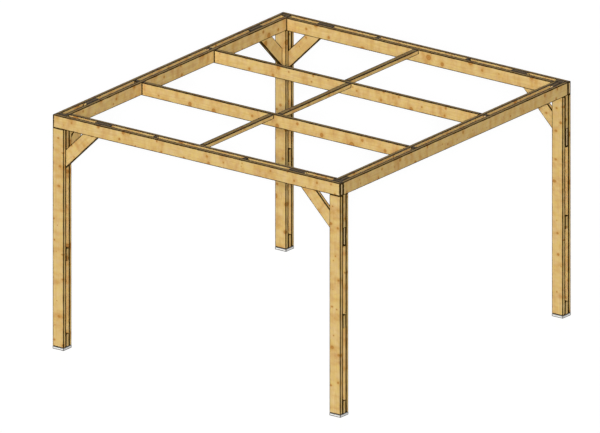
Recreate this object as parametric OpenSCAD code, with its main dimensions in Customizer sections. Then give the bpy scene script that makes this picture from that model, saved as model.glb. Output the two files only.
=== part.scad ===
// Wooden pergola: an open timber frame that stands on four low pads.
// Every post and every beam is a sandwich of two boards with an open layer between them.
// Blocks, braces and post heads sit in that open layer and hold the two boards apart.
// Origin: centre of the plan, on the ground. +X to the right, +Y to the back, +Z up.

/* [Frame] */
// Overall width, from outside to outside along X
frame_w = 3150; // [2400:10:4200]
// Overall depth, from outside to outside along Y
frame_d = 3430; // [2600:10:4800]
// Length of the post boards, from the pad to the underside of the beams
post_len = 2040; // [1700:10:2600]

/* [Timber] */
// Thickness of the boards of the posts and beams
board_t = 40; // [30:1:50]
// Thickness of the open layer, and of all that sits in it
core_t = 40; // [30:1:50]
// Width of the post boards along X
post_w = 120; // [100:1:160]
// Height of the beams
beam_h = 120; // [100:1:160]
// Chamfer that eases the edges of the timber
arris = 3; // [1:0.5:6]

/* [Post blocks] */
// Height of a block between the post boards
block_h = 120; // [60:1:200]
// Height of the middle block above the foot of the post boards
middle_block_z = 800; // [400:10:1200]

/* [Braces] */
// Slope of the braces from the level, in degrees
brace_slope = 45; // [40:1:50]
// Width of the braces, across the slope
brace_w = 120; // [80:1:140]
// Length of beam that a front or back brace takes in, from the outer face of the post
brace_reach = 600; // [520:10:800]
// Length of beam that a side brace takes in, from the face of the post
side_brace_reach = 460; // [380:10:700]

/* [Roof] */
// Thickness of the joists
joist_t = 40; // [30:1:60]
// Width of the purlin
purlin_w = 55; // [40:1:100]
// Height of the purlin
purlin_h = 40; // [30:1:90]
// Length of the spacers in the beams
spacer_len = 40; // [30:1:120]
// Length of the end blocks in the beam without braces
end_block_len = 120; // [80:1:300]

/* [Pads] */
// Height of the pads under the posts
pad_h = 25; // [10:1:60]
// Chamfer round the upper edge of a pad
pad_chamfer = 3; // [1:0.5:6]

/* [Hidden] */
timber_colour = "#DDB878";
pad_colour = "#F2F2EF";

// Depth of a post and width of a beam: board, open layer, board
sandwich_t = 2 * board_t + core_t;
inner_y = board_t + core_t;

beam_z = pad_h + post_len;
top_z = beam_z + beam_h;

// Fall of each brace's lower edge, and the height of a brace cut on the plumb line
brace_drop = brace_reach * tan(brace_slope);
side_brace_drop = side_brace_reach * tan(brace_slope);
brace_plumb = brace_w / cos(brace_slope);

// Clear bays between the joists, and between the spacers of the front and back beams
joist_bay = (frame_d - 2 * sandwich_t - 2 * joist_t) / 3;
spacer_bay = (frame_w - 2 * sandwich_t - 2 * spacer_len) / 3;
joist_y = [for (i = [1, 2]) sandwich_t + i * joist_bay + (i - 1) * joist_t];
spacer_x = [for (i = [1, 2]) sandwich_t + i * spacer_bay + (i - 1) * spacer_len];
joist_spacer_y = [for (y = joist_y) y + (joist_t - spacer_len) / 2];
joist_len = frame_w - 2 * sandwich_t;

// The purlin is staggered about the middle line of the frame, so that each length can be screwed
// through the joist: the front and rear lengths lie to its left, the middle length to its right
purlin_x = [frame_w / 2 - purlin_w, frame_w / 2, frame_w / 2 - purlin_w];
purlin_y = [sandwich_t, joist_y[0] + joist_t, joist_y[1] + joist_t];

// Each corner and each pair of like beams: name, mirrored in X, mirrored in Y
CORNERS = [
    ["front_left", false, false],
    ["front_right", true, false],
    ["back_left", false, true],
    ["back_right", true, true]
];
LONG_BEAMS = [["front", false, false], ["back", false, true]];
SIDE_BEAMS = [["left", false, false], ["right", true, false]];
SIDE_BRACES = [["front_left", false, false], ["back_left", false, true]];
PURLINS = ["front_purlin", "middle_purlin", "rear_purlin"];
JOISTS = ["front_joist", "rear_joist"];

CORNER_PIECES = ["pad", "post_outer_board", "post_inner_board", "post_blocks", "post_head", "brace"];
BEAM_PIECES = ["outer_board", "inner_board", "spacers"];

// Rectangle with its four corners cut by the arris
function eased(a, b) = [
    [arris, 0], [a - arris, 0], [a, arris], [a, b - arris],
    [a - arris, b], [arris, b], [0, b - arris], [0, arris]
];

// Section of a pad, with only its two upper corners cut
function eased_top(a, b) = [
    [0, 0], [a, 0], [a, b - pad_chamfer],
    [a - pad_chamfer, b], [pad_chamfer, b], [0, b - pad_chamfer]
];

// Planed and docked timber from the origin: a length in one axis and a section in the other two,
// with the arrises taken off along the sides and round both cut ends
module timber(size_x, size_y, size_z) {
    intersection() {
        linear_extrude(size_z) polygon(eased(size_x, size_y));
        translate([0, size_y, 0]) rotate([90, 0, 0]) linear_extrude(size_y) polygon(eased(size_x, size_z));
        rotate([90, 0, 90]) linear_extrude(size_x) polygon(eased(size_y, size_z));
    }
}

module flip(axis, on) {
    if (on) mirror(axis) children();
    else children();
}

// Children are drawn from the outer front left corner and mirrored to the named corner or beam
module at(place) {
    flip([1, 0, 0], place[1])
        flip([0, 1, 0], place[2])
            translate([-frame_w / 2, -frame_d / 2, 0])
                children();
}

// Pad: a flat plinth with an eased upper edge
module pad() {
    color(pad_colour)
        intersection() {
            translate([0, sandwich_t, 0]) rotate([90, 0, 0]) linear_extrude(sandwich_t)
                polygon(eased_top(post_w, pad_h));
            rotate([90, 0, 90]) linear_extrude(post_w)
                polygon(eased_top(sandwich_t, pad_h));
        }
}

module post_outer_board() {
    color(timber_colour) translate([0, 0, pad_h]) timber(post_w, board_t, post_len);
}

module post_inner_board() {
    color(timber_colour) translate([0, inner_y, pad_h]) timber(post_w, board_t, post_len);
}

// Two blocks in the open layer: one at the foot, one at about hand height
module post_blocks() {
    color(timber_colour)
        for (z = [0, middle_block_z])
            translate([0, board_t, pad_h + z]) timber(post_w, core_t, block_h);
}

// Post head: bears on the brace with a sloping underside and runs up into the front or back beam.
// It is notched in the beam, where the outer board of the side beam passes.
module post_head() {
    bearing = top_z - brace_drop + brace_plumb;
    color(timber_colour)
        translate([0, inner_y, 0]) rotate([90, 0, 0]) linear_extrude(core_t)
            polygon([
                [0, bearing], [post_w, bearing + post_w * tan(brace_slope)], [post_w, top_z],
                [board_t, top_z], [board_t, beam_z], [0, beam_z]
            ]);
}

// Front and back brace: runs through the open layers of post and beam,
// cut flush with the outer face of the post and the top of the beam
module brace() {
    over_len = brace_drop / sin(brace_slope) + 2 * brace_w;
    color(timber_colour)
        intersection() {
            translate([0, board_t, top_z - brace_drop]) rotate([0, -brace_slope, 0])
                translate([-brace_w, 0, 0]) timber(over_len, core_t, brace_w);
            translate([0, 0, top_z - brace_drop]) cube([brace_reach, sandwich_t, brace_drop]);
        }
}

// Side brace: butts on the inner face of the post and runs through the open layer of the side beam
module side_brace() {
    over_len = side_brace_drop / sin(brace_slope) + 2 * brace_w;
    color(timber_colour)
        intersection() {
            translate([board_t, sandwich_t, top_z - side_brace_drop]) rotate([brace_slope, 0, 0])
                translate([0, -brace_w, 0]) timber(core_t, over_len, brace_w);
            translate([0, sandwich_t, top_z - side_brace_drop])
                cube([sandwich_t, side_brace_reach, side_brace_drop]);
        }
}

// Front and back beam: the outer board covers the ends of the side beams,
// the inner board fits between their inner boards
module long_beam_outer_board() {
    color(timber_colour) translate([0, 0, beam_z]) timber(frame_w, board_t, beam_h);
}

module long_beam_inner_board() {
    color(timber_colour) translate([sandwich_t, inner_y, beam_z])
        timber(frame_w - 2 * sandwich_t, board_t, beam_h);
}

module long_beam_spacers() {
    color(timber_colour)
        for (x = spacer_x)
            translate([x, board_t, beam_z]) timber(spacer_len, core_t, beam_h);
}

// Side beam: the outer board runs between the outer boards of front and back,
// the inner board runs between the post heads
module side_beam_outer_board() {
    color(timber_colour) translate([0, board_t, beam_z])
        timber(board_t, frame_d - 2 * board_t, beam_h);
}

module side_beam_inner_board() {
    color(timber_colour) translate([inner_y, inner_y, beam_z])
        timber(board_t, frame_d - 2 * inner_y, beam_h);
}

// The spacers of the side beams back the ends of the joists
module side_beam_spacers() {
    color(timber_colour)
        for (y = joist_spacer_y)
            translate([board_t, y, beam_z]) timber(core_t, spacer_len, beam_h);
}

// The side beam without braces has a block at each end instead
module side_beam_end_blocks() {
    color(timber_colour)
        for (y = [inner_y, frame_d - inner_y - end_block_len])
            translate([board_t, y, beam_z]) timber(core_t, end_block_len, beam_h);
}

// Joists span between the inner boards of the side beams, with their tops flush
module joist(index) {
    color(timber_colour) at(CORNERS[0])
        translate([sandwich_t, joist_y[index], beam_z]) timber(joist_len, joist_t, beam_h);
}

// The purlin is three lengths let in between the beams and the joists, with their tops flush,
// each beside the line of the one before
module purlin(index) {
    color(timber_colour) at(CORNERS[0])
        translate([purlin_x[index], purlin_y[index], top_z - purlin_h])
            timber(purlin_w, joist_bay, purlin_h);
}

for (c = CORNERS) {
    at(c) pad();
    at(c) post_outer_board();
    at(c) post_inner_board();
    at(c) post_blocks();
    at(c) post_head();
    at(c) brace();
}
for (b = LONG_BEAMS) {
    at(b) long_beam_outer_board();
    at(b) long_beam_inner_board();
    at(b) long_beam_spacers();
}
for (b = SIDE_BEAMS) {
    at(b) side_beam_outer_board();
    at(b) side_beam_inner_board();
    at(b) side_beam_spacers();
}
at(SIDE_BEAMS[1]) side_beam_end_blocks();  // right_beam_end_blocks
for (s = SIDE_BRACES)
    at(s) side_brace();
for (i = [0:len(JOISTS) - 1])
    joist(i);
for (i = [0:len(PURLINS) - 1])
    purlin(i);
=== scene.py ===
"""Wooden pergola: an open frame of planed spruce boards on four pale pads."""
import math
import random

import bpy
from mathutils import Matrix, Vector


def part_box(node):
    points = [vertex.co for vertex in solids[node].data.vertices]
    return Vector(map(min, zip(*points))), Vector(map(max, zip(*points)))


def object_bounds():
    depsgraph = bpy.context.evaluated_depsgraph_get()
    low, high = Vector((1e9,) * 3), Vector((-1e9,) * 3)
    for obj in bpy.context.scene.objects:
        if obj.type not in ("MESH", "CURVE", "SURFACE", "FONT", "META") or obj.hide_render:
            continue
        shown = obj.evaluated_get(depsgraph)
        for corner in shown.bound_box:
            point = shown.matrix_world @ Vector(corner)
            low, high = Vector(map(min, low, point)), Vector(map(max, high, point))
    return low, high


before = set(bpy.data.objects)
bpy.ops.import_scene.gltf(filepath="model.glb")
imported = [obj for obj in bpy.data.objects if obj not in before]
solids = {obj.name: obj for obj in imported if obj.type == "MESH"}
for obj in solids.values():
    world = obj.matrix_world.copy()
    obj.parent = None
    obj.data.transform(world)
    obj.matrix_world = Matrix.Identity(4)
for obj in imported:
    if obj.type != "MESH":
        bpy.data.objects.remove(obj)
cad_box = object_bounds()


# Pads
# A low plinth keeps the foot of each post off the wet ground.
# It is one block of pale moulded polyethylene, and the post simply stands on it.
corners = ["front_left", "front_right", "back_left", "back_right"]
x_way, y_way, z_way = Vector((1, 0, 0)), Vector((0, 1, 0)), Vector((0, 0, 1))


def linear(hex_colour):
    """An sRGB hex colour as the linear colour that a shader takes."""
    channels = [int(hex_colour[i:i + 2], 16) / 255 for i in (1, 3, 5)]
    return [c / 12.92 if c <= 0.04045 else ((c + 0.055) / 1.055) ** 2.4 for c in channels] + [1.0]


def add_node(tree, kind, inputs, stops=(), **settings):
    """Adds a node and returns its outputs. An input is a value or the socket that feeds it.
    The first two stops of a ramp are its ends."""
    node = tree.nodes.new(kind)
    for name, value in settings.items():
        setattr(node, name, value)
    for key, value in inputs.items():
        if isinstance(value, bpy.types.NodeSocket):
            tree.links.new(value, node.inputs[key])
        else:
            node.inputs[key].default_value = value
    for index, (position, colour) in enumerate(stops):
        points = node.color_ramp.elements
        point = points[index] if index < 2 else points.new(position)
        point.position = position
        point.color = linear(colour)
    return node.outputs


def new_material(name):
    """A material with its node tree and its surface shader."""
    material = bpy.data.materials.new(name)
    material.use_nodes = True
    tree = material.node_tree
    return material, tree, tree.nodes["Principled BSDF"]


def take_measure(piece, ways, box="piece"):
    """Measures the box round a piece along three ways.
    Its middle and half sizes are kept on the piece, where a material can read them."""
    reach = [[vertex.co.dot(way) for vertex in piece.data.vertices] for way in ways]
    piece[f"{box} middle"] = [(max(places) + min(places)) / 2 for places in reach]
    piece[f"{box} half"] = [(max(places) - min(places)) / 2 for places in reach]


def from_middle(tree, ways, box="piece", end_soak=1.0):
    """The place on a measured piece, seen from its middle along its three ways, and the way to its edge.
    At the two ends of the first way, the way to the edge counts as end_soak times shorter."""
    place = add_node(tree, "ShaderNodeTexCoord", {})["Object"]
    steps = [
        add_node(tree, "ShaderNodeVectorMath", {0: place, 1: way}, operation="DOT_PRODUCT")["Value"]
        for way in ways
    ]
    place = add_node(tree, "ShaderNodeCombineXYZ", dict(enumerate(steps)))[0]
    middle, half = [
        add_node(tree, "ShaderNodeAttribute", {},
                 attribute_type="OBJECT", attribute_name=f"{box} {size}")["Vector"]
        for size in ("middle", "half")
    ]
    place = add_node(tree, "ShaderNodeVectorMath", {0: place, 1: middle}, operation="SUBTRACT")[0]

    # Of the depths below the three pairs of faces, one is nil on a face, and the next is the way to the edge
    off_middle = add_node(tree, "ShaderNodeVectorMath", {0: place}, operation="ABSOLUTE")[0]
    below = add_node(tree, "ShaderNodeVectorMath", {0: half, 1: off_middle}, operation="SUBTRACT")[0]
    below = add_node(tree, "ShaderNodeVectorMath", {0: below, 1: (1 / end_soak, 1, 1)},
                     operation="MULTIPLY")[0]
    first, second, third = add_node(tree, "ShaderNodeSeparateXYZ", {0: below}).values()
    nearer = add_node(tree, "ShaderNodeMath", {0: second, 1: third}, operation="MINIMUM")[0]
    farther = add_node(tree, "ShaderNodeMath", {0: second, 1: third}, operation="MAXIMUM")[0]
    farther = add_node(tree, "ShaderNodeMath", {0: farther, 1: first}, operation="MINIMUM")[0]
    to_edge = add_node(tree, "ShaderNodeMath", {0: nearer, 1: farther}, operation="MAXIMUM")[0]
    return place, to_edge


def moulded_polyethylene():
    """Off-white plastic from a blasted mould: a matt skin, faintly cloudy, with no sharp highlight.
    Soil has stained its edges grey. The mould's grain is finer, and drawn coarse enough to show."""
    cloud_size = 0.045
    stain_width, stain_fade = 0.005, 0.003
    mould_grain, grain_depth, grain_strength = 0.0012, 0.0003, 0.25
    least_rough, most_rough = 0.5, 0.68
    material, tree, shader = new_material("moulded polyethylene")
    place, to_edge = from_middle(tree, (x_way, y_way, z_way))
    cloud = add_node(tree, "ShaderNodeTexNoise", {"Vector": place, "Scale": 1 / cloud_size, "Detail": 3})
    tone = add_node(tree, "ShaderNodeValToRGB", {"Fac": cloud["Fac"]},
                    stops=[(0.3, "#E6E6E2"), (0.7, "#F4F4F2")])["Color"]
    stain = add_node(tree, "ShaderNodeMapRange",
                     {"Value": to_edge, "From Min": stain_width, "From Max": stain_width + stain_fade,
                      "To Min": 1.0, "To Max": 0.0}, interpolation_type="SMOOTHSTEP")["Result"]
    tone = add_node(tree, "ShaderNodeMix", {0: stain, 6: tone, 7: linear("#5C5C5A")}, data_type="RGBA")[2]
    grain = add_node(tree, "ShaderNodeTexNoise", {"Vector": place, "Scale": 1 / mould_grain, "Detail": 2})
    rough = add_node(tree, "ShaderNodeMapRange",
                     {"Value": grain["Fac"], "To Min": least_rough, "To Max": most_rough})
    bump = add_node(tree, "ShaderNodeBump",
                    {"Height": grain["Fac"], "Strength": grain_strength, "Distance": grain_depth})
    tree.links.new(tone, shader.inputs["Base Color"])
    tree.links.new(rough["Result"], shader.inputs["Roughness"])
    tree.links.new(bump["Normal"], shader.inputs["Normal"])
    shader.inputs["IOR"].default_value = 1.51
    return material


pad_plastic = moulded_polyethylene()
for corner in corners:
    pad = solids[f"{corner}_pad"]
    take_measure(pad, (x_way, y_way, z_way))
    pad.material_slots[0].material = pad_plastic


# Posts
# Each post is two planed spruce boards that stand side by side with an open layer between them.
# Blocks of the same wood in that layer hold them apart, and a longer head fills it up to the beam.

# A knot bends the rings and tints the wood out to so many of its radii
knot_reach = 3.5


def grow_branches(tree, log):
    """Branches leave the heart of the log in whorls and thicken as they go out.
    Gives how far a place is from the heart, and from the nearest branch in radii of that branch."""
    whorl_spacing, branches_round, whorl_scatter = 0.24, 6.0, 0.85
    least_vigour, thin_branch, thick_branch = 0.1, 0.3, 1.2
    knot_spread = 0.17

    # The log in the round
    length, width, depth = add_node(tree, "ShaderNodeSeparateXYZ", {0: log}).values()
    flat = add_node(tree, "ShaderNodeVectorMath", {0: log, 1: (0, 1, 1)}, operation="MULTIPLY")[0]
    radius = add_node(tree, "ShaderNodeVectorMath", {0: flat}, operation="LENGTH")["Value"]
    outward = add_node(tree, "ShaderNodeMath", {0: depth}, operation="ABSOLUTE")[0]
    angle = add_node(tree, "ShaderNodeMath", {0: width, 1: outward}, operation="ARCTAN2")[0]

    # The nearest branch on the log unrolled, and the way to it in metres
    branch_angle = 2 * math.pi / branches_round
    up_stem = add_node(tree, "ShaderNodeMath", {0: length, 1: whorl_spacing}, operation="DIVIDE")[0]
    round_stem = add_node(tree, "ShaderNodeMath", {0: angle, 1: branch_angle}, operation="DIVIDE")[0]
    bark = add_node(tree, "ShaderNodeCombineXYZ", {0: up_stem, 1: round_stem})[0]
    branch = add_node(tree, "ShaderNodeTexVoronoi",
                      {"Vector": bark, "Scale": 1.0, "Randomness": whorl_scatter}, voronoi_dimensions="2D")
    off_branch = add_node(tree, "ShaderNodeVectorMath", {0: bark, 1: branch["Position"]},
                          operation="SUBTRACT")[0]
    arc = add_node(tree, "ShaderNodeMath", {0: radius, 1: branch_angle}, operation="MULTIPLY")[0]
    cell = add_node(tree, "ShaderNodeCombineXYZ", {0: whorl_spacing, 1: arc})[0]
    off_metres = add_node(tree, "ShaderNodeVectorMath", {0: off_branch, 1: cell}, operation="MULTIPLY")[0]
    distance = add_node(tree, "ShaderNodeVectorMath", {0: off_metres}, operation="LENGTH")["Value"]

    vigour = add_node(tree, "ShaderNodeSeparateColor", {0: branch["Color"]})[0]
    thickness = add_node(tree, "ShaderNodeMapRange",
                         {"Value": vigour, "From Min": least_vigour, "To Min": thin_branch,
                          "To Max": thick_branch})["Result"]
    thickness = add_node(tree, "ShaderNodeMath", {0: thickness, 1: knot_spread}, operation="MULTIPLY")[0]
    thickness = add_node(tree, "ShaderNodeMath", {0: thickness, 1: radius}, operation="MULTIPLY")[0]
    from_knot = add_node(tree, "ShaderNodeMath", {0: distance, 1: thickness}, operation="DIVIDE")[0]
    return radius, from_knot


def grow_rings(tree, log, radius, from_knot):
    """Growth rings, which waver along the stem and bend round the knots. Gives the share of late wood."""
    ring_width = 0.007
    wavers_per_metre, waver_depth = (1.3, 6.0, 6.0), 0.03
    knot_bend = 0.016
    waver_scale = add_node(tree, "ShaderNodeVectorMath", {0: log, 1: wavers_per_metre},
                           operation="MULTIPLY")[0]
    waver = add_node(tree, "ShaderNodeTexNoise", {"Vector": waver_scale, "Scale": 1.0, "Detail": 2})["Fac"]
    bend = add_node(tree, "ShaderNodeMapRange",
                    {"Value": from_knot, "From Max": knot_reach, "To Min": knot_bend, "To Max": 0.0},
                    interpolation_type="SMOOTHSTEP")["Result"]
    sway = add_node(tree, "ShaderNodeMath", {0: waver, 1: waver_depth, 2: bend},
                    operation="MULTIPLY_ADD")[0]
    ring_place = add_node(tree, "ShaderNodeMath", {0: radius, 1: sway}, operation="ADD")[0]
    ring_count = add_node(tree, "ShaderNodeMath", {0: ring_place, 1: ring_width}, operation="DIVIDE")[0]
    ring = add_node(tree, "ShaderNodeMath", {0: ring_count}, operation="FRACT")[0]
    return add_node(tree, "ShaderNodeValToRGB", {"Fac": ring},
                    stops=[(0.0, "#000000"), (1.0, "#000000"), (0.45, "#202020"), (0.86, "#C0C0C0")])[0]


def tint_wood(tree, log, late_wood, fibre, from_knot):
    """Straw to honey in soft bands that lie across the board, with late wood and fibres drawn into it.
    A knot has a brown eye with a dark rim and a wide honey halo."""
    tint_width, tint_length = 0.15, 0.075
    late_wood_strength = 0.42
    fibre_dark, fibre_light = 0.93, 1.05
    blush_size, blush_strength = 0.04, 0.17

    tint_scale = add_node(tree, "ShaderNodeVectorMath",
                          {0: log, 1: (1 / tint_length, 1 / tint_width, 1 / tint_width)},
                          operation="MULTIPLY")[0]
    tint = add_node(tree, "ShaderNodeTexNoise",
                    {"Vector": tint_scale, "Scale": 1.0, "Detail": 4, "Roughness": 0.6})["Fac"]
    early_wood = add_node(tree, "ShaderNodeValToRGB", {"Fac": tint},
                          stops=[(0.3, "#E3C684"), (0.74, "#C99958"), (0.48, "#DEBD7B"),
                                 (0.6, "#D6AF6E")])["Color"]
    grain_share = add_node(tree, "ShaderNodeMath", {0: late_wood, 1: late_wood_strength},
                           operation="MULTIPLY")[0]
    wood = add_node(tree, "ShaderNodeMix", {0: grain_share, 6: early_wood, 7: linear("#B98848")},
                    data_type="RGBA")[2]
    fibre_tone = add_node(tree, "ShaderNodeMapRange",
                          {"Value": fibre, "From Min": 0.3, "From Max": 0.7,
                           "To Min": fibre_dark, "To Max": fibre_light})["Result"]
    wood = add_node(tree, "ShaderNodeVectorMath", {0: wood, 1: fibre_tone}, operation="MULTIPLY")[0]

    # A blush of more or less yellow, which changes the blue alone
    blush = add_node(tree, "ShaderNodeTexNoise",
                     {"Vector": log, "Scale": 1 / blush_size, "Detail": 2})["Fac"]
    blush = add_node(tree, "ShaderNodeMapRange",
                     {"Value": blush, "From Min": 0.25, "From Max": 0.75,
                      "To Min": 1 - blush_strength, "To Max": 1 + blush_strength})["Result"]
    blush = add_node(tree, "ShaderNodeCombineXYZ", {0: 1.0, 1: 1.0, 2: blush})[0]
    wood = add_node(tree, "ShaderNodeVectorMath", {0: wood, 1: blush}, operation="MULTIPLY")[0]

    knot_range = add_node(tree, "ShaderNodeMath", {0: from_knot, 1: knot_reach}, operation="DIVIDE")[0]
    knot_colour = add_node(tree, "ShaderNodeValToRGB", {"Fac": knot_range},
                           stops=[(0.0, "#B47C3C"), (1.0, "#D09E57"), (0.17, "#C08C4B"),
                                  (0.26, "#AA7433"), (0.36, "#C79148")])["Color"]
    knot_share = add_node(tree, "ShaderNodeValToRGB", {"Fac": knot_range},
                          stops=[(0.25, "#FFFFFF"), (1.0, "#000000"), (0.38, "#A8A8A8"),
                                 (0.65, "#606060")])["Color"]
    return add_node(tree, "ShaderNodeMix", {0: knot_share, 6: wood, 7: knot_colour}, data_type="RGBA")[2]


def turned_to(tree, way):
    """How squarely a face is turned to a way: 1 for full on, 0 for side on and -1 for away."""
    facing = add_node(tree, "ShaderNodeNewGeometry", {})["True Normal"]
    return add_node(tree, "ShaderNodeVectorMath", {0: facing, 1: way}, operation="DOT_PRODUCT")["Value"]


def weather_and_shade_wood(tree, wood, board, to_edge, fibre, along, through, mitred):
    """Docked ends are paler, and the tops are darkened with painted shade, most of all on short pieces.
    Eased edges have gone dark, drawn wide enough to show as lines, and the dark follows the fibres into the
    wood. The band is wider beside the open layer, under a brace and along a brace's cuts, where it is
    painted shade."""
    docked_paleness = 0.6
    dark_edge, dark_fade, dark_ragged = 0.006, 0.0025, 0.009
    narrow_soak, under_shade, end_grain_soak, layer_shade_lean = 1.5, 2.6, 1.7, 0.65
    mostly, squarely = 0.5, 0.9
    eased_slope, slope_margin = math.sqrt(0.5), 0.2
    short_piece, open_side = [
        add_node(tree, "ShaderNodeAttribute", {}, attribute_type="OBJECT", attribute_name=trait)["Fac"]
        for trait in ("short_piece", "open side")
    ]

    # Docked ends
    end_on = turned_to(tree, along)
    end_on = add_node(tree, "ShaderNodeMath", {0: end_on}, operation="ABSOLUTE")[0]
    docked = add_node(tree, "ShaderNodeMath", {0: end_on, 1: mostly}, operation="GREATER_THAN")[0]
    end_share = add_node(tree, "ShaderNodeMath", {0: docked, 1: docked_paleness}, operation="MULTIPLY")[0]
    wood = add_node(tree, "ShaderNodeMix", {0: end_share, 6: wood, 7: linear("#E3C79B")},
                    data_type="RGBA")[2]

    # Tops, darkened with a painted shade that is deeper on short pieces
    upward = turned_to(tree, z_way)
    top = add_node(tree, "ShaderNodeMath", {0: upward, 1: squarely}, operation="GREATER_THAN")[0]
    top_shade = add_node(tree, "ShaderNodeMix", {0: short_piece, 6: linear("#B2A985"), 7: linear("#827757")},
                    data_type="RGBA")[2]
    wood = add_node(tree, "ShaderNodeMix", {0: top, 6: wood, 7: top_shade}, data_type="RGBA",
                    blend_type="MULTIPLY")[2]

    # The dark soaks further into tops and narrow sides, and least into the sides of a block that is shut in
    # there. Towards the open layer it reaches further, a painted shadow line beside the gap. It goes far
    # into docked ends, and furthest into the underside of a brace, a painted shade
    edge_on = turned_to(tree, through.cross(along))
    edge_on = add_node(tree, "ShaderNodeMath", {0: edge_on}, operation="ABSOLUTE")[0]
    narrow = add_node(tree, "ShaderNodeMath", {0: edge_on, 1: mostly}, operation="GREATER_THAN")[0]
    thirsty = add_node(tree, "ShaderNodeMath", {0: top, 1: narrow}, operation="MAXIMUM")[0]
    # Painted shadow line: the dark band reaches further on the half of a narrow side or top that lies
    # towards the open layer
    off_middle = add_node(tree, "ShaderNodeSeparateXYZ", {0: board})[2]
    inward = add_node(tree, "ShaderNodeMath", {0: off_middle, 1: open_side}, operation="MULTIPLY")[0]
    shade_lean = add_node(tree, "ShaderNodeMath", {0: inward}, operation="SIGN")[0]
    if not mitred:
        shut_in = add_node(tree, "ShaderNodeMath", {0: short_piece, 1: top}, operation="SUBTRACT",
                           use_clamp=True)[0]
        shade_lean = add_node(tree, "ShaderNodeMath", {0: shade_lean, 1: shut_in}, operation="SUBTRACT")[0]
    soak_and_shade = add_node(tree, "ShaderNodeMath", {0: shade_lean, 1: layer_shade_lean, 2: narrow_soak - 1},
                    operation="MULTIPLY_ADD")[0]
    if mitred:
        # Painted shade: the band under a brace reaches furthest
        shaded_under = add_node(tree, "ShaderNodeMath", {0: upward, 1: -mostly}, operation="LESS_THAN")[0]
        soak_and_shade = add_node(tree, "ShaderNodeMath", {0: shaded_under, 1: under_shade - narrow_soak, 2: soak_and_shade},
                        operation="MULTIPLY_ADD")[0]
    soak_and_shade = add_node(tree, "ShaderNodeMath", {0: thirsty, 1: soak_and_shade, 2: 1.0}, operation="MULTIPLY_ADD")[0]
    end_soaks = add_node(tree, "ShaderNodeMath", {0: docked, 1: end_grain_soak}, operation="MULTIPLY")[0]
    soak_and_shade = add_node(tree, "ShaderNodeMath", {0: soak_and_shade, 1: end_soaks}, operation="MAXIMUM")[0]

    # The way in from the nearest edge, with a ragged end. A brace has edges at its level and plumb cuts too,
    # whose dark band is a painted shade line in the corner where it meets post and beam
    if mitred:
        to_cut = from_middle(tree, (x_way, y_way, z_way), "cut")[1]
        to_edge = add_node(tree, "ShaderNodeMath", {0: to_edge, 1: to_cut}, operation="MINIMUM")[0]
    from_edge = add_node(tree, "ShaderNodeMath", {0: to_edge, 1: soak_and_shade}, operation="DIVIDE")[0]
    from_edge = add_node(tree, "ShaderNodeMath", {0: fibre, 1: dark_ragged, 2: from_edge},
                         operation="MULTIPLY_ADD")[0]
    dark_line = dark_edge + dark_ragged / 2
    edge = add_node(tree, "ShaderNodeMapRange",
                    {"Value": from_edge, "From Min": dark_line, "From Max": dark_line + dark_fade,
                     "To Min": 1.0, "To Max": 0.0}, interpolation_type="SMOOTHSTEP")["Result"]

    # The face that a board turns to the open layer is sheltered and stays clean. Blocks and spacers come in
    # sets that are measured as one, so their eased ends are told by their slope
    inside = turned_to(tree, through)
    inside = add_node(tree, "ShaderNodeMath", {0: inside, 1: open_side}, operation="MULTIPLY")[0]
    outside = add_node(tree, "ShaderNodeMath", {0: inside, 1: squarely}, operation="LESS_THAN")[0]
    edge = add_node(tree, "ShaderNodeMath", {0: edge, 1: outside}, operation="MULTIPLY")[0]
    if not mitred:
        eased_end = add_node(tree, "ShaderNodeMath", {0: end_on, 1: eased_slope, 2: slope_margin},
                             operation="COMPARE")[0]
        edge = add_node(tree, "ShaderNodeMath", {0: edge, 1: eased_end}, operation="MAXIMUM")[0]
    return add_node(tree, "ShaderNodeMix", {0: edge, 6: wood, 7: linear("#37280B")}, data_type="RGBA")[2]


def planed_spruce(name, along, through, mitred=False, end_soak=1.0):
    """Fast-grown spruce, planed and left bare outdoors: pale straw with honey late wood, orange-brown knots,
    a dull, almost matt surface, edges that have gone dark with weather, and tops darkened with painted
    shade. A mitred piece has level and plumb cuts at its ends."""
    fibre_width, fibre_length = 0.0025, 0.12
    least_rough, most_rough = 0.62, 0.82
    late_wood_relief, relief_depth, relief_strength = 0.5, 0.0004, 0.3

    material, tree, shader = new_material(name)
    board, to_edge = from_middle(tree, (along, through.cross(along), through), end_soak=end_soak)
    heart = add_node(tree, "ShaderNodeAttribute", {},
                     attribute_type="OBJECT", attribute_name="heart")["Vector"]
    log = add_node(tree, "ShaderNodeVectorMath", {0: board, 1: heart}, operation="SUBTRACT")[0]
    radius, from_knot = grow_branches(tree, log)
    late_wood = grow_rings(tree, log, radius, from_knot)

    # Fibres, far finer than shown, drawn wide enough to read as silk along the board
    fibre_scale = add_node(tree, "ShaderNodeVectorMath",
                           {0: log, 1: (1 / fibre_length, 1 / fibre_width, 1 / fibre_width)},
                           operation="MULTIPLY")[0]
    fibre = add_node(tree, "ShaderNodeTexNoise", {"Vector": fibre_scale, "Scale": 1.0, "Detail": 3})["Fac"]

    wood = tint_wood(tree, log, late_wood, fibre, from_knot)
    wood = weather_and_shade_wood(tree, wood, board, to_edge, fibre, along, through, mitred)
    rough = add_node(tree, "ShaderNodeMapRange",
                     {"Value": fibre, "To Min": least_rough, "To Max": most_rough})["Result"]
    relief = add_node(tree, "ShaderNodeMath", {0: late_wood, 1: late_wood_relief, 2: fibre},
                      operation="MULTIPLY_ADD")[0]
    bump = add_node(tree, "ShaderNodeBump",
                    {"Height": relief, "Strength": relief_strength, "Distance": relief_depth})["Normal"]
    tree.links.new(wood, shader.inputs["Base Color"])
    tree.links.new(rough, shader.inputs["Roughness"])
    tree.links.new(bump, shader.inputs["Normal"])
    shader.inputs["Specular IOR Level"].default_value = 0.01
    return material


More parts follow.
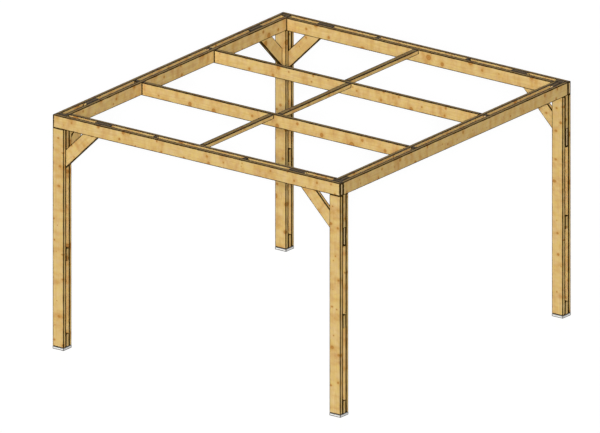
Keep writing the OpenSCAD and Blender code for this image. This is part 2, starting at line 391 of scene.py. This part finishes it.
def way_to_pair(name, through):
    """1 or -1 for the way from a board to its pair across the open layer, and 0 for any other piece."""
    pair = name.replace("inner", "outer") if "inner" in name else name.replace("outer", "inner")
    own, other = [sum(corner.dot(through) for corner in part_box(piece)) for piece in (name, pair)]
    return float((other > own) - (other < own))


def saw_from_log(names, wood, along, through):
    """Gives pieces their wood, each sawn from a log of its own whose heart runs beside the piece.
    Blocks, spacers, heads and braces are short, and their tops take a deeper painted shade."""
    log_run, heart_aside = 6.0, 0.035
    heart_near, heart_far = 0.055, 0.1
    ways = (along, through.cross(along), through)
    for name in names:
        board = solids[name]
        take_measure(board, ways)
        board["heart"] = [chance.uniform(-log_run, log_run), chance.uniform(-heart_aside, heart_aside),
                          chance.choice([-1, 1]) * chance.uniform(heart_near, heart_far)]
        # Short pieces get the deeper painted shade on their tops
        board["short_piece"] = 0.0 if any(kind in name for kind in ("board", "joist", "purlin")) else 1.0
        board["open side"] = way_to_pair(name, through)
        board.material_slots[0].material = wood


chance = random.Random(7)
post_pieces = ["post_outer_board", "post_inner_board", "post_blocks", "post_head"]
post_names = [f"{corner}_{piece}" for corner in corners for piece in post_pieces]
saw_from_log(post_names, planed_spruce("planed spruce, upright", z_way, y_way), z_way, y_way)


# Braces
# A board at 45 degrees runs through the open layers of post and beam and stiffens the corner.
# Its ends are cut flush with the post and the beam; the left side has two more, which butt on the posts.
rising_right = (x_way + z_way).normalized()
rising_left = (z_way - x_way).normalized()
rising_back = (y_way + z_way).normalized()
rising_front = (z_way - y_way).normalized()
brace_sets = [
    (["front_left_brace", "back_left_brace"], "rising right", rising_right, y_way),
    (["front_right_brace", "back_right_brace"], "rising left", rising_left, y_way),
    (["front_left_side_brace"], "rising back", rising_back, x_way),
    (["back_left_side_brace"], "rising front", rising_front, x_way),
]
for names, way, along, through in brace_sets:
    brace_wood = planed_spruce(f"planed spruce, {way}", along, through, mitred=True)
    saw_from_log(names, brace_wood, along, through)
    for name in names:
        take_measure(solids[name], (x_way, y_way, z_way), "cut")


# Beams
# Every beam is two boards on edge over the posts, with short spacers in the open layer between them.
# The front and back outer boards cover the ends of the side beams. At the ends of level boards, the dark
# goes further along the grain.
beam_pieces = ["outer_board", "inner_board", "spacers"]
long_beams = [f"{side}_beam_{piece}" for side in ("front", "back") for piece in beam_pieces]
side_beams = [f"{side}_beam_{piece}" for side in ("left", "right") for piece in beam_pieces]
level_end_soak = 2.0
crossways_wood = planed_spruce("planed spruce, crossways", x_way, y_way, end_soak=level_end_soak)
endways_wood = planed_spruce("planed spruce, endways", y_way, x_way, end_soak=level_end_soak)
saw_from_log(long_beams, crossways_wood, x_way, y_way)
saw_from_log(side_beams + ["right_beam_end_blocks"], endways_wood, y_way, x_way)


# Joists and purlin
# Two joists on edge span between the side beams, with their tops flush with the beams. The purlin is three
# staggered lengths of a smaller section, let in between beams and joists: the front and rear lengths lie
# left of the middle line and the middle length right of it.
saw_from_log(["front_joist", "rear_joist"], crossways_wood, x_way, y_way)
saw_from_log(["front_purlin", "middle_purlin", "rear_purlin"], endways_wood, y_way, x_way)


# Studio floor and backdrop
# A plain white floor under a white surround, which the frame's soft shadow falls on.
# What the eye sees is white paper; what lights the wood is dimmer.
def seen_directly(tree):
    """1 where the eye, a reflection or a clear pane looks, and 0 for light on its way to a surface."""
    ray = add_node(tree, "ShaderNodeLightPath", {})
    seen = add_node(tree, "ShaderNodeMath", {0: ray["Is Camera Ray"], 1: ray["Is Glossy Ray"]},
                    operation="MAXIMUM")[0]
    return add_node(tree, "ShaderNodeMath", {0: seen, 1: ray["Is Transmission Ray"]},
                    operation="MAXIMUM")[0]


floor_half = 40.0
paper_glow, surround_glow = 0.9, 0.18
floor_mesh = bpy.data.meshes.new("studio_floor")
floor_mesh.from_pydata(
    [(x * floor_half, y * floor_half, 0.0) for x, y in ((-1, -1), (1, -1), (1, 1), (-1, 1))],
    [], [(0, 1, 2, 3)])
floor = bpy.data.objects.new("studio_floor", floor_mesh)
bpy.context.scene.collection.objects.link(floor)

paper, paper_tree, paper_shader = new_material("white paper floor")
paper_shader.inputs["Base Color"].default_value = linear("#A0A0A0")
paper_shader.inputs["Specular IOR Level"].default_value = 0.0
shadow_part = add_node(paper_tree, "ShaderNodeBsdfDiffuse", {"Color": linear("#808080")})[0]
white_part = add_node(paper_tree, "ShaderNodeEmission", {"Strength": paper_glow})[0]
white_paper = add_node(paper_tree, "ShaderNodeAddShader", {0: shadow_part, 1: white_part})[0]
paper_surface = add_node(
    paper_tree, "ShaderNodeMixShader",
    {0: seen_directly(paper_tree), 1: paper_shader.outputs[0], 2: white_paper})[0]
paper_tree.links.new(paper_surface, paper_tree.nodes["Material Output"].inputs["Surface"])
floor_mesh.materials.append(paper)

surround = bpy.data.worlds.new("white surround")
bpy.context.scene.world = surround
surround.use_nodes = True
sky = surround.node_tree
sky_output = sky.nodes["World Output"]
dim_light = add_node(sky, "ShaderNodeBackground", {"Strength": surround_glow})[0]
white_wall = add_node(sky, "ShaderNodeBackground", {"Color": linear("#FFFFFF"), "Strength": 1.0})[0]
sky_mix = add_node(sky, "ShaderNodeMixShader", {0: seen_directly(sky), 1: dim_light, 2: white_wall})[0]
sky.links.new(sky_mix, sky_output.inputs["Surface"])


# Lamps
# The eye lamp stands beside the eye and lights the open layers with no shadow in sight. The key lamp, a
# little to its left, draws a faint narrow shadow beside each board. Broad lamps fill in from front and
# back; the back one is so low that nearly half of its disc lies below the floor, so it is stronger.
def studio_lamp(name, from_way, strength, spread):
    """A far lamp that shines from the way given, as a disc that is so many degrees across."""
    lamp = bpy.data.lights.new(name, "SUN")
    lamp.angle = math.radians(spread)
    lamp.energy = strength
    holder = bpy.data.objects.new(name, lamp)
    holder.rotation_mode = "QUATERNION"
    holder.rotation_quaternion = Vector(from_way).to_track_quat("Z", "Y")
    bpy.context.scene.collection.objects.link(holder)


studio_lamp("eye lamp", (0.560, -0.761, 0.328), 2.2, 3)
studio_lamp("key lamp", (0.494, -0.822, 0.284), 0.6, 10)
studio_lamp("front lamp", (0.0, -1.0, 0.2), 0.43, 24)
studio_lamp("back lamp", (-0.8, 1.0, 0.04), 4.6, 24)


# Camera
# The drawing is a parallel projection: its scale is the same all over the frame.
# One corner of the roof is set on its own place in the picture.
picture_width, picture_height = 600, 433
pixels_per_metre = 113.4
azimuth, elevation = math.radians(36.333), math.radians(19.148)
roof_corner_pixel = (52.6, 114.37)
roof_corner = Vector((cad_box[0].x, cad_box[0].y, cad_box[1].z))
camera_distance = 14.0

camera_data = bpy.data.cameras.new("drawing_view")
camera_data.type = "ORTHO"
camera_data.ortho_scale = picture_width / pixels_per_metre
camera_data.clip_end = 100.0
camera = bpy.data.objects.new("drawing_view", camera_data)
camera.rotation_euler = (math.pi / 2 - elevation, 0.0, azimuth)
turn = camera.rotation_euler.to_matrix()
right_of_corner = (picture_width / 2 - roof_corner_pixel[0]) / pixels_per_metre
below_corner = (picture_height / 2 - roof_corner_pixel[1]) / pixels_per_metre
camera.location = roof_corner + turn @ Vector((right_of_corner, -below_corner, camera_distance))
bpy.context.scene.collection.objects.link(camera)
bpy.context.scene.camera = camera
bpy.context.scene.view_settings.view_transform = "Standard"
